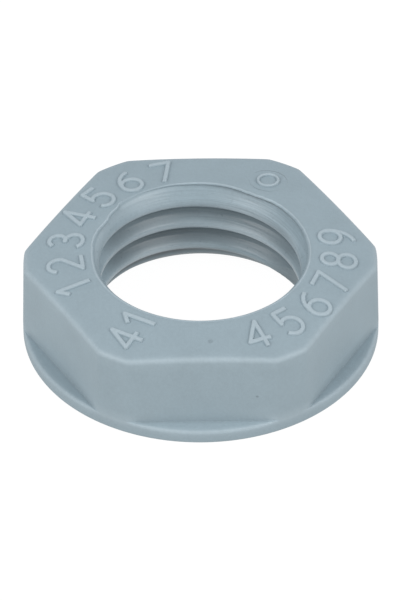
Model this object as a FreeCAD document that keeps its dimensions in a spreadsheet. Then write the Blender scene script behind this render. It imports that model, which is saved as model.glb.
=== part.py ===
import FreeCAD, Part
import math
import os
import Sketcher
from FreeCAD import Placement, Rotation, Vector

# Locknut for a cable gland, moulded in one piece of polyamide.
# The origin is the centre of the flat seating face, +Z runs up the thread's axis,
# and one flat of the hexagon faces -Y. Lengths are millimetres, angles degrees.

SIZES = [
    ("across_flats", 18.0, "spanner size, at the top of the flats"),
    ("total_height", 5.5, "seating face to the rim of the bore"),
    ("lip_width", 1.0, "how far the round flange stands out from each flat"),
    ("lip_thickness", 0.8, "thickness of the round flange"),
    ("draft_angle", 1.0, "mould draft of the flats"),
    ("rim_land", 0.25, "level ring round the bore, before the top falls away"),
    ("crown_drop", 0.47, "how far the domed top has fallen at the flange's radius"),
    ("wall_at_flats", 3.4, "crests of the thread to the middle of a flat, at the top"),
    ("lead_in", 0.45, "45 degree chamfer at the top of the bore"),
    ("countersink", 1.05, "45 degree countersink in the seating face"),
    ("thread_pitch", 1.5, "rise of the right-hand thread in one turn"),
    ("thread_depth", 0.55, "from crest to root"),
    ("crest_width", 0.5, "flat left on each crest"),
    ("root_width", 0.36, "flat at the bottom of the groove"),
    ("thread_end_angle", 138.0, "where the groove stops, counted from +X"),
    ("thread_end_depth", 0.07, "groove's centre below the rim where it stops"),
    ("top_edge_radius", 0.3, "rounding between the top and the sides"),
    ("lip_edge_radius", 0.15, "rounding of the flange's upper edge and of the flats' roots"),
    ("foot_chamfer", 0.15, "45 degree chamfer round the seating face"),
]

# sizes that follow from the ones above
FOLLOWING = [
    ("bore_diameter", "=across_flats - 2 * wall_at_flats", "across the crests of the thread"),
]

# how far a cutting profile reaches past the surface that it cuts
OVERLAP = 0.2
# largest rounding of the top, as a share of half a corner's width
CORNER_SHARE = 0.55
NEAR = 1e-4

doc = FreeCAD.newDocument("Locknut")
sheet = doc.addObject("Spreadsheet::Sheet", "Sizes")
for row, (alias, value, meaning) in enumerate(SIZES + FOLLOWING, start=1):
    sheet.set("A%d" % row, meaning)
    sheet.set("B%d" % row, str(value))
    sheet.setAlias("B%d" % row, alias)
doc.recompute()


def size(alias):
    return float(getattr(sheet, alias))


# formulas that several sketches share
FLANGE_RADIUS = "(Sizes.across_flats / 2 + Sizes.lip_width)"
BORE_RADIUS = "(Sizes.bore_diameter / 2)"
LAND_RADIUS = "(Sizes.bore_diameter / 2 + Sizes.lead_in + Sizes.rim_land)"
CREST_GAP = "(Sizes.thread_pitch - Sizes.crest_width)"
GROOVE_TURNS = "(ceil(Sizes.total_height / Sizes.thread_pitch) + 1)"
# each corner of the hexagon is cut off by the flange's circle, and this is half its width there
CORNER_ROOT = "sqrt(%s ^ 2 - (Sizes.across_flats / 2) ^ 2)" % FLANGE_RADIUS
CORNER_HALF_WIDTH = "(Sizes.across_flats / 4 - sqrt(3) / 2 * %s)" % CORNER_ROOT
TOP_ROUNDING = "min(Sizes.top_edge_radius; %g * %s)" % (CORNER_SHARE, CORNER_HALF_WIDTH)


def new_sketch(body, role, name):
    plane = next(f for f in body.Origin.OriginFeatures if f.Role == role)
    sketch = body.newObject("Sketcher::SketchObject", name)
    sketch.AttachmentSupport = [(plane, "")]
    sketch.MapMode = "FlatFace"
    return sketch


def closed_chain(sketch, corners):
    """Straight sides through the corners, joined end to start."""
    sides = [
        sketch.addGeometry(Part.LineSegment(Vector(*a, 0), Vector(*b, 0)), False)
        for a, b in zip(corners, corners[1:] + corners[:1])
    ]
    for side, following in zip(sides, sides[1:] + sides[:1]):
        sketch.addConstraint(Sketcher.Constraint("Coincident", side, 2, following, 1))
    return sides


def dimension(sketch, name, formula, kind, *where):
    """A dimension that starts at what is drawn and follows a formula of the sheet's values."""
    if kind == "Diameter":
        drawn = 2 * sketch.Geometry[where[0]].Radius
    else:
        span = sketch.getPoint(*where[2:]) - sketch.getPoint(*where[:2])
        drawn = span.x if kind == "DistanceX" else span.y
    index = sketch.addConstraint(Sketcher.Constraint(kind, *where, drawn))
    sketch.renameConstraint(index, name)
    sketch.setExpression("Constraints." + name, formula)


def recomputed(feature):
    doc.recompute()
    if "Invalid" in feature.State or "Error" in feature.State:
        raise RuntimeError("%s did not build: %s" % (feature.Name, feature.State))
    return feature


def edges_where(feature, wanted):
    """Names of the feature's edges that pass a test on their curve and two end points."""
    names = []
    for number, edge in enumerate(feature.Shape.Edges, start=1):
        ends = [vertex.Point for vertex in edge.Vertexes]
        if wanted(edge, ends[0], ends[-1]):
            names.append("Edge%d" % number)
    return names


def softened(body, kind, name, base, wanted, formula):
    """A Fillet or a Chamfer on the wanted edges of the feature before it."""
    feature = body.newObject("PartDesign::" + kind, name)
    feature.Base = (base, edges_where(base, wanted))
    feature.Refine = False
    feature.setExpression("Radius" if kind == "Fillet" else "Size", formula)
    return recomputed(feature)


def turned_blank(body):
    """A disc of the flange's diameter, with a level land in the middle of a domed top.

    Its profile lies over +Y, so that the seam of the turned faces runs through a flat
    and not through a corner.
    """
    sketch = new_sketch(body, "YZ_Plane", "BlankProfile")
    radius = size("across_flats") / 2 + size("lip_width")
    land = size("bore_diameter") / 2 + size("lead_in") + size("rim_land")
    top, drop = size("total_height"), size("crown_drop")
    # the dome's centre lies on the axis, this far below the land
    reach = (radius**2 - land**2 + drop**2) / (2 * drop)
    dome_circle = Part.Circle(Vector(0, top - reach, 0), Vector(0, 0, 1), math.hypot(land, reach))
    dome_low, dome_high = math.atan2(reach - drop, radius), math.atan2(reach, land)
    foot = sketch.addGeometry(Part.LineSegment(Vector(0, 0, 0), Vector(radius, 0, 0)), False)
    wall = sketch.addGeometry(Part.LineSegment(Vector(radius, 0, 0), Vector(radius, top - drop, 0)), False)
    dome = sketch.addGeometry(Part.ArcOfCircle(dome_circle, dome_low, dome_high), False)
    level = sketch.addGeometry(Part.LineSegment(Vector(land, top, 0), Vector(0, top, 0)), False)
    core = sketch.addGeometry(Part.LineSegment(Vector(0, top, 0), Vector(0, 0, 0)), False)
    for constraint in (
        ("Coincident", foot, 2, wall, 1),
        ("Coincident", wall, 2, dome, 1),
        ("Coincident", dome, 2, level, 1),
        ("PointOnObject", dome, 3, -2),
        ("Coincident", level, 2, core, 1),
        ("Coincident", core, 2, foot, 1),
        ("Coincident", foot, 1, -1, 1),
        ("Horizontal", foot),
        ("Horizontal", level),
        ("Vertical", wall),
        ("Vertical", core),
    ):
        sketch.addConstraint(Sketcher.Constraint(*constraint))
    dimension(sketch, "flange_radius", FLANGE_RADIUS, "DistanceX", foot, 1, foot, 2)
    dimension(sketch, "land_radius", LAND_RADIUS, "DistanceX", level, 2, level, 1)
    dimension(sketch, "height", "Sizes.total_height", "DistanceY", core, 2, core, 1)
    dimension(sketch, "side", "Sizes.total_height - Sizes.crown_drop", "DistanceY", wall, 1, wall, 2)
    recomputed(sketch)
    blank = body.newObject("PartDesign::Revolution", "Blank")
    blank.Profile = sketch
    blank.ReferenceAxis = (sketch, ["V_Axis"])
    blank.Angle = 360
    blank.Refine = False
    return recomputed(blank)


def six_flats(body):
    """Everything outside the hexagon is cut away above the lip; the corners stay round."""
    sketch = new_sketch(body, "XY_Plane", "FlatsOutline")
    sketch.setExpression(".AttachmentOffset.Base.z", "Sizes.total_height")
    reach = size("across_flats") / math.sqrt(3)
    turns = [math.radians(60 * k) for k in range(6)]
    corners = [(reach * math.cos(turn), reach * math.sin(turn)) for turn in turns]
    sides = closed_chain(sketch, corners)
    across = sketch.addGeometry(Part.Circle(Vector(), Vector(0, 0, 1), size("across_flats") / 2), True)
    outside = sketch.addGeometry(Part.Circle(Vector(), Vector(0, 0, 1), size("across_flats")), False)
    for circle in (across, outside):
        sketch.addConstraint(Sketcher.Constraint("Coincident", circle, 3, -1, 1))
    for side in sides:
        sketch.addConstraint(Sketcher.Constraint("Tangent", side, across))
    for side in sides[1:-1]:
        sketch.addConstraint(Sketcher.Constraint("Equal", sides[0], side))
    sketch.addConstraint(Sketcher.Constraint("PointOnObject", sides[0], 1, -1))
    dimension(sketch, "across_flats", "Sizes.across_flats", "Diameter", across)
    dimension(sketch, "outside", "2 * Sizes.across_flats", "Diameter", outside)
    recomputed(sketch)
    flats = body.newObject("PartDesign::Pocket", "Flats")
    flats.Profile = sketch
    flats.Refine = False
    flats.setExpression("Length", "Sizes.total_height - Sizes.lip_thickness")
    flats.setExpression("TaperAngle", "-Sizes.draft_angle")
    return recomputed(flats)


def soft_edges(body, base):
    """Rounds the lip, the roots of the flats and the edge of the top, and chamfers the foot."""
    lip = size("lip_thickness")
    side_top = size("total_height") - size("crown_drop")
    radius = size("across_flats") / 2 + size("lip_width")
    inside_radius = size("across_flats") / 2

    def on_lip(edge, start, end):
        return abs(edge.BoundBox.ZMin - lip) < NEAR and abs(edge.BoundBox.ZMax - lip) < NEAR

    def round_top(edge, start, end):
        level = abs(start.z - end.z) < size("crown_drop")
        high = min(start.z, end.z) > (lip + side_top) / 2
        out = min(math.hypot(start.x, start.y), math.hypot(end.x, end.y)) > inside_radius - NEAR
        return level and high and out

    def round_foot(edge, start, end):
        return edge.BoundBox.ZMax < NEAR and abs(math.hypot(start.x, start.y) - radius) < NEAR

    base = softened(body, "Fillet", "LipEdges", base, on_lip, "Sizes.lip_edge_radius")
    base = softened(body, "Fillet", "TopEdges", base, round_top, TOP_ROUNDING)
    return softened(body, "Chamfer", "FootEdge", base, round_foot, "Sizes.foot_chamfer")


def plain_bore(body):
    """The bore with its two 45 degree mouths, cut a quarter turn at a time."""
    sketch = new_sketch(body, "XZ_Plane", "BoreProfile")
    radius, top = size("bore_diameter") / 2, size("total_height")
    lead, sink = size("lead_in"), size("countersink")
    corners = [
        (0, -OVERLAP),
        (radius + sink + OVERLAP, -OVERLAP),
        (radius, sink),
        (radius, top - lead),
        (radius + lead + OVERLAP, top + OVERLAP),
        (0, top + OVERLAP),
    ]
    sides = closed_chain(sketch, corners)
    low, sink_cone, wall, lead_cone, high, core = sides
    for level in (low, high):
        sketch.addConstraint(Sketcher.Constraint("Horizontal", level))
    for upright in (wall, core):
        sketch.addConstraint(Sketcher.Constraint("Vertical", upright))
    sketch.addConstraint(Sketcher.Constraint("PointOnObject", low, 1, -2))
    overlap = "%g" % OVERLAP
    sink_reach = "Sizes.countersink + " + overlap
    lead_reach = "Sizes.lead_in + " + overlap
    dimension(sketch, "below", overlap, "DistanceY", low, 1, -1, 1)
    dimension(sketch, "above", "Sizes.total_height + " + overlap, "DistanceY", -1, 1, high, 2)
    dimension(sketch, "bore_radius", BORE_RADIUS, "DistanceX", -1, 1, wall, 1)
    dimension(sketch, "sink_across", sink_reach, "DistanceX", sink_cone, 2, sink_cone, 1)
    dimension(sketch, "sink_up", sink_reach, "DistanceY", sink_cone, 1, sink_cone, 2)
    dimension(sketch, "lead_across", lead_reach, "DistanceX", lead_cone, 1, lead_cone, 2)
    dimension(sketch, "lead_up", lead_reach, "DistanceY", lead_cone, 1, lead_cone, 2)
    recomputed(sketch)
    quarter = body.newObject("PartDesign::Groove", "BoreQuarter")
    quarter.Profile = sketch
    quarter.ReferenceAxis = (sketch, ["V_Axis"])
    quarter.Angle = 90
    quarter.Refine = False
    recomputed(quarter)
    bore = body.newObject("PartDesign::PolarPattern", "Bore")
    bore.Originals = [quarter]
    bore.Axis = (sketch, ["V_Axis"])
    bore.Angle = 360
    bore.Occurrences = 4
    bore.Refine = False
    body.Tip = bore
    return recomputed(bore)


def thread_groove(body):
    """Right-hand groove that enters through the countersink and stops short in the rim."""
    sketch = new_sketch(body, "XZ_Plane", "GrooveProfile")
    sketch.AttachmentOffset = Placement(Vector(), Rotation(Vector(0, 1, 0), 1.0))
    sketch.setExpression(".AttachmentOffset.Rotation.Angle", "Sizes.thread_end_angle")
    sketch.setExpression(
        ".AttachmentOffset.Base.y",
        "Sizes.total_height - Sizes.thread_end_depth - Sizes.thread_pitch * " + GROOVE_TURNS,
    )
    crest, depth = size("bore_diameter") / 2, size("thread_depth")
    gap = size("thread_pitch") - size("crest_width")
    root = size("root_width")
    flare = (gap - root) / depth * OVERLAP
    corners = [
        (crest - OVERLAP, -(gap + flare) / 2),
        (crest + depth, -root / 2),
        (crest + depth, root / 2),
        (crest - OVERLAP, (gap + flare) / 2),
    ]
    under, bottom, over, mouth = closed_chain(sketch, corners)
    for upright in (bottom, mouth):
        sketch.addConstraint(Sketcher.Constraint("Symmetric", upright, 1, upright, 2, -1))
    overlap = "%g" % OVERLAP
    mouth_width = "%s + (%s - Sizes.root_width) / Sizes.thread_depth" % (CREST_GAP, CREST_GAP)
    dimension(sketch, "root_width", "Sizes.root_width", "DistanceY", bottom, 1, bottom, 2)
    dimension(sketch, "mouth_width", mouth_width + " * " + overlap, "DistanceY", mouth, 2, mouth, 1)
    dimension(sketch, "root_radius", BORE_RADIUS + " + Sizes.thread_depth", "DistanceX", -1, 1, bottom, 1)
    dimension(sketch, "reach", "Sizes.thread_depth + " + overlap, "DistanceX", under, 1, under, 2)
    recomputed(sketch)
    groove = body.newObject("PartDesign::SubtractiveHelix", "ThreadGroove")
    groove.Profile = sketch
    groove.ReferenceAxis = (sketch, ["V_Axis"])
    groove.Mode = "pitch-height-angle"
    groove.LeftHanded = False
    groove.Reversed = False
    groove.Refine = False
    groove.setExpression("Pitch", "Sizes.thread_pitch")
    groove.setExpression("Height", "Sizes.thread_pitch * " + GROOVE_TURNS)
    return recomputed(groove)


body = doc.addObject("PartDesign::Body", "Locknut")
body.Label = "locknut"
turned_blank(body)
outside = soft_edges(body, six_flats(body))
bore = plain_bore(body)
groove = thread_groove(body)
body.Tip = groove
doc.recompute()

for thing in doc.Objects:
    if "Invalid" in thing.State or "Error" in thing.State:
        raise RuntimeError("%s is not sound: %s" % (thing.Name, thing.State))
shape = body.Shape
if shape.isNull() or not shape.isValid() or len(shape.Solids) != 1:
    raise RuntimeError("the locknut is not one sound solid")
if not shape.Volume < bore.Shape.Volume < outside.Shape.Volume:
    raise RuntimeError("the bore or the thread cut nothing")

os.makedirs("parts", exist_ok=True)
shape.exportStep("parts/%s.step" % body.Label)
box = shape.optimalBoundingBox(False, False)
print("%s: %.2f mm3, %d faces" % (body.Label, shape.Volume, len(shape.Faces)))
print("box %.3f x %.3f x %.3f mm" % (box.XLength, box.YLength, box.ZLength))
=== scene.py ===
import math
import bpy
import numpy as np
from mathutils import Matrix, Vector


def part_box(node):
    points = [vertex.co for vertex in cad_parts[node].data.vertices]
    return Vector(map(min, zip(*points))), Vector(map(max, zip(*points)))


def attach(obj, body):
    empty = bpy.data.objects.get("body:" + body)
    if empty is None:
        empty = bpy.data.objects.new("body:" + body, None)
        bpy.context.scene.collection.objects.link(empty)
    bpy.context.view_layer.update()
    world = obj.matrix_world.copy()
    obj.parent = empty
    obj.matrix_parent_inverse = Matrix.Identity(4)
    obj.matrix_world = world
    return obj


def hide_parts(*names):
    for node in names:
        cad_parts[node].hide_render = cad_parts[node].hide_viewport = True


# Locknut for a cable gland, moulded in one piece of grey polyamide.
# Shapes are worked out in millimetres and turned to metres when a mesh is made. What is called
# turn is in degrees from +X, counter-clockwise seen from above, and angle is in radians.

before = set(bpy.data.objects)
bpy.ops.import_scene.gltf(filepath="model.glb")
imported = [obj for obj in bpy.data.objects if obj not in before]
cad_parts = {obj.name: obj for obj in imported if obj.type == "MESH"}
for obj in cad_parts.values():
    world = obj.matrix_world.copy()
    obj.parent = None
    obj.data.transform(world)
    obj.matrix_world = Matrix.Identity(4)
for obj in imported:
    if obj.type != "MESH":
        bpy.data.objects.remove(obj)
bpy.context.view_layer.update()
mm = 0.001
nutLow, nutHigh = [np.array(corner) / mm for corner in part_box("locknut")]
print("frame loaded, box", np.round(nutLow, 2), np.round(nutHigh, 2))

# the moulding: what a user would change about its shape
nut = {
    "flangeRadius": nutHigh[0],
    "height": nutHigh[2],
    "acrossFlats": 18.0,
    "draft": 1.0,
    "lipThickness": 0.8,
    "lipRound": 0.21,
    "lipFall": (0.0002, 0.0003),    # a hair's fall, which keeps the rows of points apart
    "rootRound": 0.05,    # where a flat meets the lip
    "footRound": 0.14,
    "topRound": 0.3,
    "cornerLean": 0.13,    # the round corners lean in by this much between the lip and the top
    "uprightSoftness": 0.04,
    "landRadius": 6.3,    # the top is level out to here
    "landSoftness": 1.5,    # in square mm
    "domeDrop": 0.47,
    "crestRadius": 5.6,
    "leadIn": 0.4,
    "leadInShift": 0.055,    # the lead-in lies this far off centre
    "leadInTurn": 60.0,    # towards here
    "leadInSoftness": 0.34,
    "countersink": 1.05,
    "countersinkSoftness": 0.05,
    "mouthRound": 0.05,
    "bead": 0.025,    # fine raised line that the mould left round the rim
    "beadInset": 0.04,
    "beadWidth": 0.03,
}
land = nut["height"]

# its thread
thread = {
    "pitch": 1.5,
    "depth": 0.55,
    "crestWidth": 0.32,
    "rootWidth": 0.36,
    "crestSoftness": 0.14,    # both as shares of the depth
    "rootSoftness": 0.24,
    "end": 138.0,    # the last groove stops here
    "endRun": 26.0,    # and runs out over this many degrees
    "endBelowLand": 0.16,
    "leanFrom": (-20.0, 60.0),    # its lower flank leans back from here, over this many degrees
    "leanLower": 0.14,
    "leanWider": 0.52,
    "lowestCrest": 1.366,    # middle of the lowest crest at +Y
    "crestStart": (22.0, 52.0),    # it grows to its full height between these turns
}
runStart = thread["end"] - 1
rootRadius = nut["crestRadius"] + thread["depth"]
laps = math.ceil(land / thread["pitch"]) + 2    # those in the bore, and one past either end

# up to the last groove's end the rim is a little wider, and there it steps in
rimStep = {
    "depth": 0.07,
    "from": (96.0, 8.0),    # start and run
    "to": (thread["end"] + 1, 2.4),    # end and run
    "below": 0.3,
    "run": 0.25,
}

# a thin film of flash reaches in from the rim, at the far right and past the groove's end
film = {
    "swells": ((0.17, 60, 11.5), (0.07, 45, 38)),    # reach, middle, width
    "tongues": (    # reach, start and its run, end and its run
        (0.1, 136, 1.5, 167, 16),
        (0.07, 147, 3, 160, 9),
        (0.05, 173, 3, 200, 16),
    ),
    "ripples": ((0.05, 0.9, 0), (0.04, 2.3, 1)),    # share of the reach, rate, phase
    "seam": 240,    # there is no film here, where the turns begin and end
    "thickness": 0.09,
    "edge": 0.04,
}


def smoothMax(a, b, softness):
    # larger of two values, with the corner between them rounded
    return 0.5 * (a + b + np.sqrt((a - b) ** 2 + softness**2))


def smoothMin(a, b, softness):
    return -smoothMax(-a, -b, softness)


def rise(x, start, run):
    # 0 up to start, 1 from start + run on, and an S between
    x = np.clip((x - start) / run, 0, 1)
    return x * x * (3 - 2 * x)


def fall(x, end, run):
    # 1 up to end - run, and 0 from end on
    return rise(-x, -end, run)


def bell(distance, width):
    return np.exp(-((distance / width) ** 2))


def polar(radius, turn):
    angle = math.radians(turn)
    return np.array([radius * math.cos(angle), radius * math.sin(angle)])


def domeHeight(radius):
    # level out to the land's edge, then a sphere centred on the axis; the edge between is eased
    flat, drop = nut["landRadius"] ** 2, nut["domeDrop"]
    sphere = (nut["flangeRadius"] ** 2 - flat + drop**2) / (2 * drop)
    past = smoothMax(radius**2 - flat, 0, nut["landSoftness"])
    return land - past / (2 * sphere)


def grooveMiddle(turn):
    # it climbs one pitch a turn
    return land - thread["endBelowLand"] + thread["pitch"] * (turn - thread["end"]) / 360


def unwound(angle):
    # the turn along the thread's last lap, which ends where the groove has run out
    turn = np.degrees(angle)
    return np.where(turn > thread["end"] + thread["endRun"], turn - 360, turn)


def grooveDepthAt(turn, z):
    # trapezoid section with eased corners; towards the end its lower flank leans back until no
    # root is left
    lean = rise(turn, *thread["leanFrom"])
    mouth = (thread["pitch"] - thread["crestWidth"]) / 2
    flank = mouth - thread["rootWidth"] / 2
    low = z - grooveMiddle(turn) + mouth + thread["leanLower"] * lean
    high = grooveMiddle(turn) + mouth - z
    share = np.minimum(low / (flank + thread["leanWider"] * lean), high / flank)
    share = smoothMin(smoothMax(share, 0, thread["crestSoftness"]), 1, thread["rootSoftness"])
    return thread["depth"] * share * fall(turn, runStart + thread["endRun"], thread["endRun"])


def flash(angle):
    # how far the film reaches in
    turn = np.degrees(angle) % 360
    turn = np.where(turn > film["seam"], turn - 360, turn)
    reach = np.zeros_like(turn)
    for most, middle, width in film["swells"]:
        reach += most * bell(turn - middle, width)
    for most, start, startRun, end, endRun in film["tongues"]:
        reach += most * rise(turn, start, startRun) * fall(turn, end, endRun)
    ripple = 1
    for share, rate, phase in film["ripples"]:
        ripple = ripple + share * np.sin(turn * rate + phase)
    return reach * ripple


def boreRadius(angle, z):
    # the deepest of the grooves at this height, opened by the lead-in above and the
    # countersink below
    turn = unwound(angle)
    depth = np.zeros(np.broadcast(angle, z).shape)
    for lap in range(laps):
        depth = np.maximum(depth, grooveDepthAt(turn - 360 * lap, z))
    # below its start the lowest crest is missing, and the groove's root runs down to the
    # countersink
    start, full = thread["crestStart"]
    for lap in range(2):
        crest = thread["lowestCrest"] + thread["pitch"] * (turn - 360 * lap - 90) / 360
        missing = fall(turn - 360 * lap, full, full - start) * (z < crest + thread["pitch"] / 2)
        depth = np.maximum(depth, thread["depth"] * missing)
    step = rise(turn, *rimStep["from"]) * fall(turn, *rimStep["to"])
    depth = depth + rimStep["depth"] * step * rise(z, land - rimStep["below"], rimStep["run"])
    radius = nut["crestRadius"] + depth
    leadIn = nut["leadIn"] + nut["leadInShift"] * np.cos(angle - math.radians(nut["leadInTurn"]))
    radius = smoothMax(radius, nut["crestRadius"] + z - land + leadIn, nut["leadInSoftness"])
    countersink = nut["crestRadius"] + nut["countersink"] - z
    radius = smoothMax(radius, countersink, nut["countersinkSoftness"])
    radius = radius - flash(angle) * rise(z, land - film["thickness"], film["edge"])
    for gap in (land - z, z):    # both mouths end in a quarter round
        inside = np.clip(nut["mouthRound"] - gap, 0, nut["mouthRound"])
        radius = radius + nut["mouthRound"] - np.sqrt(nut["mouthRound"] ** 2 - inside**2)
    return radius


def bodyRadius(angle, z):
    # six drafted flats, whose corners a leaning round cuts off
    fromFlat = angle % (math.pi / 3) - math.pi / 6
    apothem = nut["acrossFlats"] / 2 + math.tan(math.radians(nut["draft"])) * (nut["height"] - z)
    aboveLip = (z - nut["lipThickness"]) / (nut["height"] - nut["lipThickness"])
    corner = nut["flangeRadius"] - nut["cornerLean"] * np.maximum(aboveLip, 0)
    return smoothMin(apothem / np.cos(fromFlat), corner, nut["uprightSoftness"])


def ringAngles(count):
    # columns round the axis, closer together at the upright edges and where the groove runs out
    edge = math.acos(nut["acrossFlats"] / 2 / nut["flangeRadius"])
    crowds = [    # angle, how many times closer, width in degrees
        (math.radians(30 + 60 * flat) + side * edge, 3.2, 1.3)
        for flat in range(6)
        for side in (-1, 1)
    ]
    crowds.append((math.radians(thread["end"] + thread["endRun"] / 2), 3.2, 1.3))
    crowds.append((math.radians(runStart), 3, 2))
    fine = np.linspace(0, 2 * math.pi, 360 * 20 + 1)    # every twentieth of a degree
    density = np.ones_like(fine)
    for place, closer, width in crowds:
        away = (fine - place + math.pi) % (2 * math.pi) - math.pi
        density += closer * bell(away, math.radians(width))
    total = np.concatenate([[0], np.cumsum((density[1:] + density[:-1]) / 2)])
    return np.interp(np.arange(count) / count, total / total[-1], fine)


def meshPiece(name, points, faces, material, tints=None):
    # tints: values kept at each point, which the material reads by name
    mesh = bpy.data.meshes.new(name)
    mesh.from_pydata((np.asarray(points) * mm).tolist(), [], np.asarray(faces).tolist())
    mesh.polygons.foreach_set("use_smooth", np.ones(len(mesh.polygons), dtype=bool))
    for tint, values in (tints or {}).items():
        layer = mesh.attributes.new(tint, "FLOAT", "POINT")
        layer.data.foreach_set("value", np.asarray(values, dtype=np.float32))
    mesh.materials.append(material)
    mesh.update()
    piece = bpy.data.objects.new(name, mesh)
    bpy.context.collection.objects.link(piece)
    return piece


def weld(points, quads):
    # points at the same place become one, and faces that have shrunk to a line are dropped
    places, first, index = np.unique(points, axis=0, return_index=True, return_inverse=True)
    quads = index.reshape(-1)[quads]
    halves = np.concatenate([quads[:, [0, 1, 2]], quads[:, [0, 2, 3]]])
    a, b, c = halves.T
    return places, first, halves[(a != b) & (b != c) & (c != a)]


# Where painted shade darkens the moulding: grooves, film, countersink and crease. A pair of numbers
# goes with rise or fall (start or end, run) or with bell (middle, width), in mm, or in degrees round
# the axis.
shade = {
    "boreEnd": (0.14, 0.08),    # past the grooves' root
    "grooveTop": (0.75, 0.5),    # below the land
    "grooveFoot": 0.35,    # run, above the countersink
    "grooveCurve": 0.35,    # it takes little depth to be dark
    "deepGroove": 0.35,    # the lower grooves on the far wall are darker by this share
    "deepBelow": (3.3, 0.5),
    "deepAt": (110, 38),
    "left": 0.95,    # the grooves are lighter by this share on the left
    "leftFrom": (141, 22),
    "leftTo": 250,
    "right": 0.5,    # and on the right
    "rightTo": (32, 20),
    "rightFrom": -110,
    "film": 7.0,    # under the film
    "filmBelow": (0.08, 0.1),
    "filmSlope": 0.8,
    "filmLeft": 0.12,    # share that is left at the left
    "filmLeftFrom": 120,
    "mouth": 1.35,    # in the countersink
    "mouthSlope": 1.1,
    "mouthMost": 0.9,
    "mouthEnd": 0.02,
    "mouthLighter": (8, 25),    # it is lighter at the right
    "crease": 0.5,    # between a flat and the lip
    "creaseWidth": 0.06,
    "creaseLip": (0.05, 0.3),    # the lip is at least this wide
}

# Painted light: highlights and sheen on crests, edges, rim and lip, and light on the flats' foot.
paintedLight = {
    "crest": 0.85,
    "crestCurve": 4,
    "crestFrom": (0.9, 0.3),
    # spots on the far wall: strength, what is added to it on the lowest crest, middle, width
    "paintedSheens": ((1.6, -3.6, 60, 18), (0.9, 0.7, 120, 14)),
    "lowestCrest": (1.9, 0.5),    # it is below this slope
    "band": (0.1, 0.2),    # above the thread's first crest
    "paintedBandSheen": 0.6,
    "bandEnd": (0.11, 0.06),    # below the land
    "leadInLeft": (170, 35),
    "leadInFrom": (0.75, 0.2),    # below the land
    "right": (27, 12),
    "rightAbove": (0.2, 0.18),
    # edges: strength, how far inwards and down from the sharp corner, width
    "topEdge": (0.85, 0.08, 0.08, 0.19),
    "lipEdge": (0.75, 0.05, 0.05, 0.17),
    "rim": (2, -0.03, 0, 0.035),
    "rimDull": 0.75,    # the rim is less bright at the far left, as far as the groove's end
    "dullAt": (125, 30),
    "dullTo": (137.5, 3),
    "foot": 0.7,    # the foot of a flat
    "footHeight": 0.5,
    "footInset": 0.2,
    "footLip": (0, 0.5),    # the lip is at least this wide
    "lip": 0.38,    # the lip's top at the front
    "lipReach": 0.03,
    "lipAt": (-90, 35),
    "creaseGap": 0.02,    # foot and lip both begin this far from the crease
    "most": 2,
}


def bellAt(value, spot):
    middle, width = spot
    return bell(value - middle, width)


def boreTints(radius, z, angle):
    turn = np.degrees(angle)
    around = turn % 360
    inBore = fall(radius, rootRadius + shade["boreEnd"][0], shade["boreEnd"][1])
    depth = np.clip((radius - nut["crestRadius"]) / thread["depth"], 0, 1)
    # painted shade in the grooves, lighter at the left and right
    top, run = shade["grooveTop"]
    covered = fall(z, land - top, run)
    covered = covered * rise(z, nut["countersink"] - thread["depth"], shade["grooveFoot"])
    deeper = 1 + shade["deepGroove"] * fall(z, *shade["deepBelow"]) * bellAt(turn, shade["deepAt"])
    side = 1 - shade["left"] * rise(around, *shade["leftFrom"]) * (around < shade["leftTo"])
    side = side * (1 - shade["right"] * fall(turn, *shade["rightTo"]) * (turn > shade["rightFrom"]))
    paintedShade = inBore * depth ** shade["grooveCurve"] * covered * deeper * side
    # painted highlights on the crests and the band above, brightest at two places on the far wall
    low = 1 - rise(z, *paintedLight["lowestCrest"])
    paintedSheen = 0
    for strength, more, middle, width in paintedLight["paintedSheens"]:
        paintedSheen = paintedSheen + (strength + more * low) * bell(turn - middle, width)
    crest = (1 - depth) ** paintedLight["crestCurve"] * rise(z, *paintedLight["crestFrom"])
    crest = crest * (paintedLight["crest"] + paintedSheen)
    aboveCrest = z - grooveMiddle(unwound(angle)) + thread["pitch"] / 2
    band = rise(aboveCrest, *paintedLight["band"])
    # the last groove is open to the light; only painted shade under the film's underside darkens it
    reach = flash(angle)
    below, width = shade["filmBelow"]
    under = bell(z - land + below + shade["filmSlope"] * reach, width)
    under = under * np.clip(shade["film"] * reach, 0, 1)
    under = under * np.where(abs(turn) > shade["filmLeftFrom"], shade["filmLeft"], 1)
    paintedShade = paintedShade * (1 - band) + inBore * under
    # painted shade in the countersink, darker towards its edge, and less so at the right
    inMouth = radius < nut["crestRadius"] + nut["countersink"] + shade["mouthEnd"]
    deep = np.clip(shade["mouthSlope"] * (1 - z / nut["countersink"]), 0, shade["mouthMost"])
    paintedShade = paintedShade + shade["mouth"] * deep * inMouth * (1 - bellAt(turn, shade["mouthLighter"]))
    # painted light on the lead-in at the left too, as there the light falls square on it
    top, run = paintedLight["leadInFrom"]
    leadIn = bellAt(around, paintedLight["leadInLeft"]) * rise(z, land - top, run)
    top, run = paintedLight["bandEnd"]
    paintedBandSheen = (paintedLight["paintedBandSheen"] * paintedSheen + leadIn) * fall(z, land - top, run)
    # painted light just above the first crest at the right
    right = bellAt(turn, paintedLight["right"]) * bellAt(aboveCrest, paintedLight["rightAbove"])
    return paintedShade, inBore * (crest * (1 - band) + paintedBandSheen * band + right)


def edgeTint(outward, up, edge):
    # painted highlight along an edge; outward and up are measured from the sharp corner
    strength, inwards, down, width = edge
    return strength * bell(np.hypot(outward + inwards, up + down), width)


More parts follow.
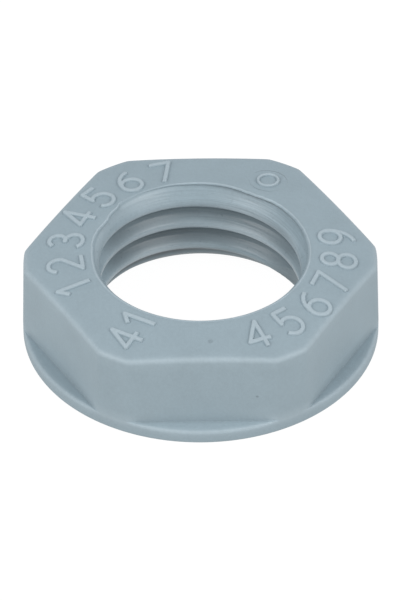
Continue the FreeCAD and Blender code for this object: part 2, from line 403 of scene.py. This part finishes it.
def surfaceTints(points, brow):
    # painted shade darkens a point and painted highlight lightens it; brow is the radius of the
    # top's corner
    radius = np.hypot(points[..., 0], points[..., 1])
    z = points[..., 2]
    angle = np.arctan2(points[0, :, 1], points[0, :, 0])
    turn = np.degrees(angle)
    paintedShade, paintedHighlight = boreTints(radius, z, angle)
    aboveLip = z - nut["lipThickness"]
    # painted highlights along the top's edge, the lip's edge and the rim; the rim's is weaker at the
    # far left
    paintedHighlight = paintedHighlight + edgeTint(radius - brow, z - domeHeight(brow), paintedLight["topEdge"])
    paintedHighlight = paintedHighlight + edgeTint(radius - nut["flangeRadius"], aboveLip, paintedLight["lipEdge"])
    dull = paintedLight["rimDull"] * bellAt(turn, paintedLight["dullAt"]) * fall(turn, *paintedLight["dullTo"])
    rim = boreRadius(angle, np.full_like(angle, land))
    paintedHighlight = paintedHighlight + edgeTint(radius - rim, z - land, paintedLight["rim"]) * (1 - dull)
    # painted shade in the crease between a flat and the lip, and painted light on the flat's foot
    # above it
    lipRoot = bodyRadius(angle, np.full_like(angle, nut["lipThickness"]))
    lipWidth = nut["flangeRadius"] - lipRoot
    crease = bell(np.hypot(radius - lipRoot, aboveLip), shade["creaseWidth"])
    paintedShade = paintedShade + shade["crease"] * crease * rise(lipWidth, *shade["creaseLip"])
    onFlat = (aboveLip > paintedLight["creaseGap"]) & (radius > lipRoot - paintedLight["footInset"])
    foot = onFlat * bell(aboveLip, paintedLight["footHeight"]) * (1 - crease)
    paintedHighlight = paintedHighlight + paintedLight["foot"] * foot * rise(lipWidth, *paintedLight["footLip"])
    # painted light on the lip's top at the front
    onLip = (radius > lipRoot + paintedLight["creaseGap"]) & (np.abs(aboveLip) < paintedLight["lipReach"])
    paintedHighlight = paintedHighlight + paintedLight["lip"] * onLip * (1 - crease) * bellAt(turn, paintedLight["lipAt"])
    return paintedShade, np.clip(paintedHighlight, 0, paintedLight["most"])


# How the surface's rows of points are spread: in mm, in shares of the way, or how many there are.
spread = {
    "columns": 540,
    # mm from a groove's middle, from the crest below it up; the other half mirrors them
    "halfPitch": (
        -0.75, -0.64, -0.57, -0.53, -0.49, -0.45, -0.39,
        -0.31, -0.25, -0.21, -0.17, -0.11, -0.03,
    ),
    "mouth": (0.0, 0.003, 0.012, 0.03, nut["mouthRound"]),    # mm from either end of the bore
    "rimBand": (0.28, 0.22, 0.17, 0.13, 0.105, 0.09, 0.08, 0.07, 0.06),    # mm below the rim
    "bead": (0.006, 0.012, 0.018, 0.024, 0.032, 0.042, 0.06),    # shares of the top
    "topFrom": 0.1,    # and the rest of it
    "top": 14,
    "topEdge": 10,
    "side": 8,
    "lipRound": 7,
    "lip": (0.33, 0.67),
    "lipShare": 0.45,    # a round takes at most this share of the lip's width
    "footRound": 6,
    "seat": (0.3, 0.6, 0.85, 0.97),
}


def ring(angle, radius, z):
    radius, z = [np.broadcast_to(value, angle.shape) for value in (radius, z)]
    return np.stack([radius * np.cos(angle), radius * np.sin(angle), z], axis=1)


def quarterTurn(count):
    bends = np.linspace(0, 1, count) * math.pi / 2
    return [(math.cos(bend), math.sin(bend)) for bend in bends]


def parabola(start, corner, end, share):
    # from start to end, through their corner's tangents
    return (1 - share) ** 2 * start + 2 * share * (1 - share) * corner + share**2 * end


def boreRows(angle):
    # The thread's rows climb with the helix: after one turn each joins the row a pitch above,
    # and rows past an end of the bore lie on that end. joins tells which row joins which.
    half = np.array(spread["halfPitch"])
    across = np.concatenate([half, -half[:0:-1]])
    lapStarts = grooveMiddle(0) - thread["pitch"] * np.arange(laps - 1, -1, -1)
    starts = (lapStarts[:, None] + across).ravel()
    climb = thread["pitch"] * angle / (2 * math.pi)
    heights = np.clip(starts[:, None] + climb, nut["mouthRound"], land - spread["rimBand"][0])
    first = len(spread["mouth"])
    past = first + len(heights)
    climbing = np.arange(first, past)
    joins = climbing, np.minimum(climbing + len(across), past)
    gaps = spread["rimBand"] + spread["mouth"][::-1]
    levels = [*spread["mouth"], *heights, *(land - gap for gap in gaps)]
    levels = [np.broadcast_to(level, angle.shape) for level in levels]
    return [ring(angle, boreRadius(angle, level), level) for level in levels], joins


def topRows(angle, brow):
    rim = boreRadius(angle, np.full_like(angle, land))
    inner = brow - nut["topRound"]
    rows = []
    for share in [*spread["bead"], *np.linspace(spread["topFrom"], 1, spread["top"])]:
        radius = rim + (inner - rim) * share
        bead = nut["bead"] * bell(radius - rim - nut["beadInset"], nut["beadWidth"])
        rows.append(ring(angle, radius, domeHeight(radius) + bead))
    # its edge is a parabola from the dome to the side
    corner = domeHeight(brow)
    sideTop = corner - nut["topRound"]
    for share in np.linspace(0, 1, spread["topEdge"])[1:]:
        radius = parabola(inner, brow, bodyRadius(angle, sideTop), share)
        rows.append(ring(angle, radius, parabola(domeHeight(inner), corner, sideTop, share)))
    sideFoot = nut["lipThickness"] + nut["rootRound"]
    for share in np.linspace(0, 1, spread["side"])[1:]:
        z = sideTop + (sideFoot - sideTop) * share
        rows.append(ring(angle, bodyRadius(angle, z), z))
    return rows


def flangeRows(angle):
    # the lip's root and edge are quarter rounds, squeezed where the lip runs out at a corner
    edge, lipTop, foot = nut["flangeRadius"], nut["lipThickness"], nut["footRound"]
    fallAcross, fallAtEdge = nut["lipFall"]
    root = bodyRadius(angle, np.full_like(angle, lipTop))
    lipWidth = edge - root
    rootRun = np.minimum(nut["rootRound"], spread["lipShare"] * lipWidth)
    lipRun = np.minimum(nut["lipRound"], spread["lipShare"] * lipWidth)
    rows = []
    for cosine, sine in quarterTurn(spread["lipRound"])[1:]:
        z = lipTop + nut["rootRound"] * (1 - sine)
        rows.append(ring(angle, root + rootRun * (1 - cosine), z))
    for share in spread["lip"]:
        radius = root + rootRun + (lipWidth - rootRun - lipRun) * share
        rows.append(ring(angle, radius, lipTop - fallAcross * share))
    for cosine, sine in quarterTurn(spread["lipRound"]):
        z = lipTop - fallAtEdge - nut["lipRound"] * (1 - cosine)
        rows.append(ring(angle, edge - lipRun * (1 - sine), z))
    # the flange's edge and foot, and the seating face
    rows.append(ring(angle, edge, (lipTop - nut["lipRound"] + foot) / 2))
    for cosine, sine in quarterTurn(spread["footRound"]):
        rows.append(ring(angle, edge - foot * (1 - cosine), foot * (1 - sine)))
    seat = boreRadius(angle, np.zeros_like(angle))
    for share in spread["seat"]:
        rows.append(ring(angle, edge - foot + (seat - edge + foot) * share, 0.0))
    return rows


def nutSurface():
    # One closed surface: up the bore, out over the top, down the sides and in under the seat.
    # A row is a ring of points.
    angle = ringAngles(spread["columns"])
    brow = bodyRadius(angle, land - nut["domeDrop"])
    rows, joins = boreRows(angle)
    points = np.array(rows + topRows(angle, brow) + flangeRows(angle))
    paintedShade, paintedHighlight = surfaceTints(points, brow)
    index = np.arange(points[..., 0].size).reshape(points.shape[:2])
    # the column past the last one is the first again, a pitch higher inside the thread
    wrap = index[:, 0].copy()
    wrap[joins[0]] = index[joins[1], 0]
    index = np.concatenate([index, wrap[:, None]], axis=1)
    above = np.roll(index, -1, axis=0)
    corners = [index[:, :-1], above[:, :-1], above[:, 1:], index[:, 1:]]
    quads = np.stack(corners, axis=-1).reshape(-1, 4)
    places, first, faces = weld(points.reshape(-1, 3), quads)
    return places, faces, {"paintedShade": paintedShade.ravel()[first], "paintedHighlight": paintedHighlight.ravel()[first]}


# Plain raised digits. In a stroke x runs to the right and y up, and every digit is 1 high.
def bow(middleX, middleY, radiusX, radiusY, start, end):
    # a point every 12 degrees, and 5 at least
    angles = np.radians(np.linspace(start, end, max(5, int(abs(end - start) / 12))))
    return [(middleX + radiusX * math.cos(a), middleY + radiusY * math.sin(a)) for a in angles]


digitStrokes = {
    "1": [[(0.08, 0.74), (0.36, 1), (0.36, 0)]],
    "2": [bow(0.3, 0.7, 0.28, 0.3, 165, -28) + [(0.02, 0), (0.6, 0)]],
    "3": [bow(0.28, 0.76, 0.25, 0.24, 150, -90) + bow(0.28, 0.27, 0.3, 0.27, 90, -150)],
    "4": [[(0.64, 0.28), (0, 0.28), (0.44, 1), (0.44, 0)]],
    "5": [[(0.56, 1), (0.1, 1), (0.06, 0.54)] + bow(0.28, 0.33, 0.31, 0.33, 132, -148)],
    "6": [bow(0.3, 0.31, 0.3, 0.31, 0, 360), bow(0.62, 0.31, 0.62, 0.69, 180, 101)],
    "7": [[(0, 1), (0.6, 1), (0.2, 0)]],
    "8": [bow(0.3, 0.76, 0.25, 0.24, 0, 360), bow(0.3, 0.26, 0.3, 0.26, 0, 360)],
    "9": [bow(0.3, 0.69, 0.3, 0.31, 0, 360), bow(-0.02, 0.69, 0.62, 0.69, 0, -79)],
}
digitWidth = {digit: 0.62 for digit in digitStrokes} | {"1": 0.5}

raised = {
    "relief": 0.13,
    "plateau": 0.095,    # half the stroke's width on top
    "foot": 0.16,    # and where it meets the surface
    "height": 1.9,
    "cell": 0.034,
    "margin": 0.05,
    "skirt": 0.03,    # how far the sheet goes on past the foot
    "skirtBelow": 0.01,
    "buried": 0.12,
    # painted highlight on the strokes' tops, and painted shade round their foot
    "paintedLight": 1.25,
    "footShade": 0.4,
    "footWidth": 0.04,
}


def strokeDistance(points, strokes, plateau):
    # from each point to the nearest stroke; a stroke's free ends are cut square
    best = np.full(points.shape[:-1], np.inf)
    for stroke in strokes:
        stroke = np.array(stroke)
        closed = np.allclose(stroke[0], stroke[-1])
        last = len(stroke) - 2
        for place, (start, end) in enumerate(zip(stroke[:-1], stroke[1:])):
            length = np.linalg.norm(end - start)
            right, up = (end - start) / length
            ahead = (points - start) @ np.array([right, up])
            beside = np.abs((points - start) @ np.array([-up, right]))
            past = np.maximum(-ahead, ahead - length)
            away = np.hypot(beside, np.maximum(past, 0))
            square = np.maximum(beside, past + plateau)
            if not closed and place == 0:
                away = np.where(ahead < 0, square, away)
            if not closed and place == last:
                away = np.where(ahead > length, square, away)
            best = np.minimum(best, away)
    return best


def raisedPatch(strokes, centre, right, up, thin=1.0):
    # A closed sheet over the strokes, standing on the dome: level on the stroke, easing down to
    # its foot, and sunk in the moulding beyond. The strokes are in mm from centre, and right and
    # up are directions of length 1.
    reach = np.concatenate(strokes)
    low = reach.min(axis=0) - raised["foot"] - raised["margin"]
    high = reach.max(axis=0) + raised["foot"] + raised["margin"]
    across = np.arange(low[0], high[0], raised["cell"])
    upward = np.arange(low[1], high[1], raised["cell"])
    flat = np.stack(np.meshgrid(across, upward), axis=-1)
    foot, plateau = raised["foot"] * thin, raised["plateau"] * thin
    away = strokeDistance(flat, strokes, plateau)
    lift = fall(away, foot, foot - plateau)
    plan = centre + flat[..., :1] * right + flat[..., 1:] * up
    ground = domeHeight(np.hypot(plan[..., 0], plan[..., 1]))
    surface = ground + raised["relief"] * lift - raised["skirtBelow"]
    top = np.concatenate([plan, surface[..., None]], axis=-1)
    bottom = np.concatenate([plan, (ground - raised["buried"])[..., None]], axis=-1)
    near = away < foot + raised["skirt"]
    used = near[:-1, :-1] & near[1:, :-1] & near[:-1, 1:] & near[1:, 1:]
    count = away.size
    index = np.arange(count).reshape(away.shape)
    cells = np.stack([index[:-1, :-1], index[:-1, 1:], index[1:, 1:], index[1:, :-1]], axis=-1)[used]
    # walls round the border, where an edge belongs to one cell only
    edges = np.concatenate([cells[:, [0, 1]], cells[:, [1, 2]], cells[:, [2, 3]], cells[:, [3, 0]]])
    known = {(a, b) for a, b in edges.tolist()}
    a, b = np.array([(a, b) for a, b in known if (b, a) not in known]).T
    walls = np.stack([b, a, a + count, b + count], axis=-1)
    faces = np.concatenate([cells, cells[:, ::-1] + count, walls])
    points = np.concatenate([top.reshape(-1, 3), bottom.reshape(-1, 3)])
    # painted highlight on a stroke's top, and painted shade just outside its foot
    tint = raised["paintedLight"] * lift**2 - raised["footShade"] * bell(away - foot, raised["footWidth"])
    tint = np.concatenate([tint.ravel(), np.zeros(count)])
    kept, renumbered = np.unique(faces, return_inverse=True)
    return points[kept], renumbered.reshape(-1, 4), tint[kept]


def digitPatch(digit, centre, right, up):
    middle = np.array([digitWidth[digit] / 2, 0.5])
    strokes = [(np.array(stroke) - middle) * raised["height"] for stroke in digitStrokes[digit]]
    return raisedPatch(strokes, centre, right, up)


def marksPiece(name, patches, material):
    points, faces, tints, count = [], [], [], 0
    for patchPoints, patchFaces, tint in patches:
        points.append(patchPoints)
        faces.append(patchFaces + count)
        tints.append(tint)
        count += len(patchPoints)
    tints = np.concatenate(tints)
    tints = {"paintedHighlight": np.clip(tints, 0, paintedLight["most"]), "paintedShade": np.clip(-tints, 0, 1)}
    piece = meshPiece(name, np.concatenate(points), np.concatenate(faces), material, tints)
    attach(piece, "root")


# digits on the upper left, heads outward, read clockwise
upperRow = {"digits": "1234567", "radius": 7.6, "first": 203.0, "step": -16.3}
# digits on the lower right, heads to the bore, read counter-clockwise
lowerRow = {"digits": "456789", "radius": 7.75, "first": -67.0, "step": 15.4}
# two digits on the lower left, read towards the bore
pair = {"digits": "41", "turn": -120.5, "radii": (8.36, 6.95)}
# small raised ring on the witness of a pin that pushed the part out of its mould
ringMark = {"radius": 7.59, "turn": 58.9, "across": 0.56, "outward": 0.61, "thin": 0.7}


def digitRow(row, outward):
    # outward is 1 where the heads point away from the bore, and -1 where they point to it
    patches = []
    for place, digit in enumerate(row["digits"]):
        turn = row["first"] + place * row["step"]
        right, up = polar(1, turn - 90 * outward), outward * polar(1, turn)
        patches.append(digitPatch(digit, polar(row["radius"], turn), right, up))
    return patches


def makeMarks(material):
    marksPiece("upperDigits", digitRow(upperRow, 1), material)
    marksPiece("lowerDigits", digitRow(lowerRow, -1), material)
    turn = pair["turn"]
    patches = [
        digitPatch(digit, polar(radius, turn), -polar(1, turn), polar(1, turn - 90))
        for digit, radius in zip(pair["digits"], pair["radii"])
    ]
    marksPiece("digitPair", patches, material)
    turn = ringMark["turn"]
    loop = [bow(0, 0, ringMark["across"], ringMark["outward"], 0, 360)]
    place = polar(ringMark["radius"], turn)
    patch = raisedPatch(loop, place, polar(1, turn - 90), polar(1, turn), ringMark["thin"])
    marksPiece("ringMark", [patch], material)


# camera: fitted to the photograph's hexagon, bore and thread; lengths in mm
shot = {
    "width": 401,
    "height": 601,
    "focalPixels": 6137.5,
    "target": (0, 0, 2.754),
    "targetPixel": (200.6, 289.85),
    "distance": 344.2,
    "elevation": 39.287,
    "azimuth": -0.45,
    "roll": -0.414,
    "sensor": 36.0,
    "clip": (0.01, 5),    # in m
}


def towards(azimuth, elevation):
    # from the nut, in degrees; azimuth 0 is at the front
    a, e = math.radians(azimuth), math.radians(elevation)
    return np.array([math.sin(a) * math.cos(e), -math.cos(a) * math.cos(e), math.sin(e)])


def makeCamera():
    a, r = math.radians(shot["azimuth"]), math.radians(shot["roll"])
    back = towards(shot["azimuth"], shot["elevation"])
    level = np.array([math.cos(a), math.sin(a), 0.0])
    upright = np.cross(back, level)
    pose = np.eye(4)
    pose[:3, 0] = math.cos(r) * level + math.sin(r) * upright
    pose[:3, 1] = math.cos(r) * upright - math.sin(r) * level
    pose[:3, 2] = back
    pose[:3, 3] = (np.array(shot["target"]) + back * shot["distance"]) * mm
    data = bpy.data.cameras.new("photoCamera")
    camera = bpy.data.objects.new("photoCamera", data)
    bpy.context.collection.objects.link(camera)
    longSide = max(shot["width"], shot["height"])
    data.sensor_width = shot["sensor"]
    data.lens = shot["focalPixels"] / longSide * shot["sensor"]
    data.shift_x = (shot["width"] / 2 - shot["targetPixel"][0]) / longSide
    data.shift_y = (shot["targetPixel"][1] - shot["height"] / 2) / longSide
    data.clip_start, data.clip_end = shot["clip"]
    camera.matrix_world = Matrix(pose.tolist())
    bpy.context.scene.camera = camera


class Nodes:
    # short ways to add nodes to a tree; an input is a number, a tuple or another node's output
    def __init__(self, tree):
        self.tree = tree

    def feed(self, socket, value):
        if isinstance(value, bpy.types.NodeSocket):
            self.tree.links.new(value, socket)
        else:
            socket.default_value = value

    def add(self, kind, inputs=None, **settings):
        node = self.tree.nodes.new("ShaderNode" + kind)
        for setting, value in settings.items():
            setattr(node, setting, value)
        for socket, value in (inputs or {}).items():
            self.feed(node.inputs[socket], value)
        return node

    def math(self, operation, *values):
        return self.add("Math", dict(enumerate(values)), operation=operation).outputs[0]

    def plus(self, a, b):
        return self.math("ADD", a, b)

    def minus(self, a, b):
        return self.math("SUBTRACT", a, b)

    def times(self, a, b):
        return self.math("MULTIPLY", a, b)

    def length(self, x, y):
        return self.math("SQRT", self.plus(self.times(x, x), self.times(y, y)))

    def scaled(self, value, before, after, smooth=False):
        # the range before becomes the range after
        inputs = {"Value": value, "From Min": before[0], "From Max": before[1]}
        inputs |= {"To Min": after[0], "To Max": after[1]}
        kind = "SMOOTHSTEP" if smooth else "LINEAR"
        return self.add("MapRange", inputs, interpolation_type=kind).outputs["Result"]

    def noise(self, vector, scale, detail):
        inputs = {"Vector": vector, "Scale": scale, "Detail": detail}
        return self.add("TexNoise", inputs).outputs["Fac"]


def startGroup(name, outputs):
    # a node group without inputs: it works in the moulding's own millimetres
    tree = bpy.data.node_groups.new(name, "ShaderNodeTree")
    for output, kind in outputs.items():
        tree.interface.new_socket(output, in_out="OUTPUT", socket_type=kind)
    nodes = Nodes(tree)
    place = nodes.add("TexCoord").outputs["Object"]
    place = nodes.add("VectorMath", {0: place, "Scale": 1 / mm}, operation="SCALE").outputs[0]
    return nodes, place, tree.nodes.new("NodeGroupOutput")


# The skin. A noise is its scale and detail, relief is in mm, and a shade is a share of the
# colour. The gloss is a roughness.
texture = {
    "cloud": (0.55, 3.0),
    "mottle": (5.5, 3.0),
    "grain": (17.0, 2.0),
    "noiseRange": (0.3, 0.7),    # most of a noise lies between these
    "noiseMiddle": 0.5,
    "cloudShade": (-0.025, 0.025),
    "mottleShade": (-0.03, 0.03),
    "mottleGloss": (0.47, 0.55),
    "mottleRelief": 0.011,
    "grainRelief": 0.01,
    "boreRange": (6.1, 6.3),    # the bore's skin ends between these radii
    "boreGloss": -0.2,
    "boreRelief": 0.25,    # share of the relief that is left in the bore
    "streak": (2.2, 2.0),
    "streakSqueeze": 5.0,
    "streakLeft": (1.5, 2.1),    # radians from +X
    "streakLeftShare": 0.3,
    "streakRelief": 0.025,
    "streakShade": 0.42,
    "pitRelief": 0.03,
    "pitShade": 0.16,
    "pitFloor": 0.3,    # share of a pit's reach that is level
}
# the pin's level end left a fine circle, proud on the outer side and sunk on the inner one
witness = {"edge": (1.02, 1.12), "levelInset": 0.15, "tilt": 0.038, "heights": (4.9, 5.0)}
# tiny pits: place and reach
skinPits = [((3.0, -9.05, 2.5), 0.1), ((0.47, -7.62, 5.36), 0.2)]


def mouldedGroup():
    # fine eroded grain, a little unevenness, lathe-like streaks in the bore and the pin's witness
    outputs = {"Shade": "NodeSocketFloat", "Gloss": "NodeSocketFloat", "Normal": "NodeSocketVector"}
    nodes, place, output = startGroup("mouldedSkin", outputs)
    cloud = nodes.noise(place, *texture["cloud"])
    mottle = nodes.noise(place, *texture["mottle"])
    grain = nodes.noise(place, *texture["grain"])
    x, y, z = nodes.add("SeparateXYZ", {0: place}).outputs
    radius = nodes.length(x, y)
    angle = nodes.math("ARCTAN2", y, x)
    inBore = nodes.scaled(radius, texture["boreRange"], (1.0, 0.0))

    # streaks follow the thread: they climb one pitch a turn, and they are faint on the left
    climb = nodes.minus(z, nodes.times(angle, thread["pitch"] / (2 * math.pi)))
    around = nodes.add("CombineXYZ", {0: angle, 1: nodes.times(climb, texture["streakSqueeze"])})
    streak = nodes.noise(around.outputs[0], *texture["streak"])
    streak = nodes.times(nodes.minus(streak, texture["noiseMiddle"]), inBore)
    left = nodes.math("ABSOLUTE", angle)
    left = nodes.scaled(left, texture["streakLeft"], (1.0, texture["streakLeftShare"]))
    streak = nodes.times(streak, left)

    middle = polar(ringMark["radius"], ringMark["turn"])
    away = nodes.length(nodes.minus(x, middle[0]), nodes.minus(y, middle[1]))
    disc = nodes.scaled(away, witness["edge"], (1.0, 0.0), True)
    tilt = nodes.minus(radius, ringMark["radius"] - witness["levelInset"])
    tilt = nodes.times(tilt, witness["tilt"])
    onTop = nodes.scaled(z, witness["heights"], (0.0, 1.0))
    circle = nodes.times(disc, nodes.times(tilt, onTop))

    pits = 0.0
    for centre, reach in skinPits:
        away = nodes.add("VectorMath", {0: place, 1: centre}, operation="DISTANCE").outputs["Value"]
        pit = nodes.scaled(away, (texture["pitFloor"] * reach, reach), (1.0, 0.0), True)
        pits = nodes.plus(pits, pit)

    height = nodes.plus(
        nodes.times(grain, texture["grainRelief"]),
        nodes.times(mottle, texture["mottleRelief"]),
    )
    height = nodes.times(height, nodes.scaled(inBore, (0.0, 1.0), (1.0, texture["boreRelief"])))
    height = nodes.minus(height, nodes.times(pits, texture["pitRelief"]))
    height = nodes.plus(height, nodes.times(streak, texture["streakRelief"]))
    height = nodes.plus(height, circle)
    bump = nodes.add("Bump", {"Height": height, "Distance": mm, "Strength": 1.0})
    tone = nodes.plus(
        nodes.scaled(cloud, texture["noiseRange"], texture["cloudShade"]),
        nodes.scaled(mottle, texture["noiseRange"], texture["mottleShade"]),
    )
    tone = nodes.plus(tone, nodes.times(streak, texture["streakShade"]))
    tone = nodes.minus(tone, nodes.times(pits, texture["pitShade"]))
    gloss = nodes.scaled(mottle, texture["noiseRange"], texture["mottleGloss"])
    gloss = nodes.plus(gloss, nodes.times(inBore, texture["boreGloss"]))
    for socket, value in {"Shade": tone, "Gloss": gloss, "Normal": bump.outputs["Normal"]}.items():
        nodes.feed(output.inputs[socket], value)
    return nodes.tree


# colours are linear; the lighter one is mixed in as painted highlight, and painted shade darkens the
# colour by a share
paint = {
    "polyamide": (0.318, 0.402, 0.445, 1),
    "paintedLight": (0.5, 0.587, 0.632, 1),
    "paintedShadeShare": 0.42,
    "paintedLightShare": 0.45,
}


def polyamide():
    material = bpy.data.materials.new("greyPolyamide")
    material.use_nodes = True
    nodes = Nodes(material.node_tree)
    shader = material.node_tree.nodes["Principled BSDF"]
    skin = nodes.add("Group", node_tree=mouldedGroup())
    # the moulding's painted shade and painted highlights, kept at its points, darken the colour or
    # mix in the lighter one
    paintedShade = nodes.add("Attribute", attribute_name="paintedShade").outputs["Fac"]
    paintedHighlight = nodes.add("Attribute", attribute_name="paintedHighlight").outputs["Fac"]
    # a colour mix's factor, colours and result come after those for numbers and vectors
    share = nodes.times(paintedHighlight, paint["paintedLightShare"])
    mix = nodes.add("Mix", data_type="RGBA")
    for socket, value in {0: share, 6: paint["polyamide"], 7: paint["paintedLight"]}.items():
        nodes.feed(mix.inputs[socket], value)
    level = nodes.minus(1.0, nodes.times(paintedShade, paint["paintedShadeShare"]))
    level = nodes.times(level, nodes.plus(skin.outputs["Shade"], 1.0))
    color = nodes.add("VectorMath", {0: mix.outputs[2], "Scale": level}, operation="SCALE")
    nodes.feed(shader.inputs["Base Color"], color.outputs[0])
    nodes.feed(shader.inputs["Roughness"], skin.outputs["Gloss"])
    nodes.feed(shader.inputs["Normal"], skin.outputs["Normal"])
    return material


# the floor glows like a light table: whiter to the camera than it shines on the nut; in m
floorPlate = {
    "half": 1.5,
    "below": 0.00002,
    "grey": (0.85, 0.85, 0.85, 1),
    "roughness": 0.9,
    "toNut": 0.72,
    "toCamera": 1.05,
    "glow": 0.92,
}


def makeStage():
    corners = [(-1, -1, 0), (1, -1, 0), (1, 1, 0), (-1, 1, 0)]
    points = np.array(corners) * floorPlate["half"] / mm
    material = bpy.data.materials.new("paleFloor")
    material.use_nodes = True
    nodes = Nodes(material.node_tree)
    shader = material.node_tree.nodes["Principled BSDF"]
    shader.inputs["Base Color"].default_value = floorPlate["grey"]
    shader.inputs["Roughness"].default_value = floorPlate["roughness"]
    shader.inputs["Specular IOR Level"].default_value = 0.0
    seen = nodes.add("LightPath").outputs["Is Camera Ray"]
    strength = nodes.scaled(seen, (0.0, 1.0), (floorPlate["toNut"], floorPlate["toCamera"]))
    glow = nodes.add("Emission", {"Strength": strength})
    inputs = {0: floorPlate["glow"], 1: shader.outputs[0], 2: glow.outputs[0]}
    mix = nodes.add("MixShader", inputs)
    nodes.feed(material.node_tree.nodes["Material Output"].inputs["Surface"], mix.outputs[0])
    floor = meshPiece("floor", points, np.array([[0, 1, 2, 3]]), material)
    floor.location.z = -floorPlate["below"]


# soft lamps: name, azimuth and elevation seen from the nut, distance in m, width in m, power in W
lamps = [
    ("lampLeft", -58, 40, 0.6, 0.36, 1.33),
    ("lampRight", 58, 40, 0.6, 0.36, 1.23),
    ("lampFront", 0, 48, 0.6, 0.36, 0.12),
]
# the world's light on the nut; to the camera it is 1
worldLight = {"strength": 0.545, "color": (0.98, 1.0, 1.035, 1)}


def makeLights():
    for name, azimuth, elevation, distance, width, power in lamps:
        back = Vector(towards(azimuth, elevation))
        data = bpy.data.lights.new(name, "AREA")
        data.size = width
        data.energy = power
        lamp = bpy.data.objects.new(name, data)
        bpy.context.collection.objects.link(lamp)
        lamp.location = back * distance
        lamp.rotation_mode = "QUATERNION"
        lamp.rotation_quaternion = back.to_track_quat("Z", "Y")
    world = bpy.data.worlds.new("studio")
    bpy.context.scene.world = world
    world.use_nodes = True
    background = world.node_tree.nodes["Background"]
    background.inputs["Color"].default_value = worldLight["color"]
    nodes = Nodes(world.node_tree)
    seen = nodes.add("LightPath").outputs["Is Camera Ray"]
    strength = nodes.scaled(seen, (0.0, 1.0), (worldLight["strength"], 1.0))
    nodes.feed(background.inputs["Strength"], strength)


bpy.context.scene.view_settings.view_transform = "Standard"
makeCamera()
makeStage()
makeLights()
skin = polyamide()
points, faces, tints = nutSurface()
shell = meshPiece("locknutMoulding", points, faces, skin, tints)
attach(shell, "root")
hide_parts("locknut")
print("moulding made,", len(faces), "triangles")
makeMarks(skin)
print("marks made")
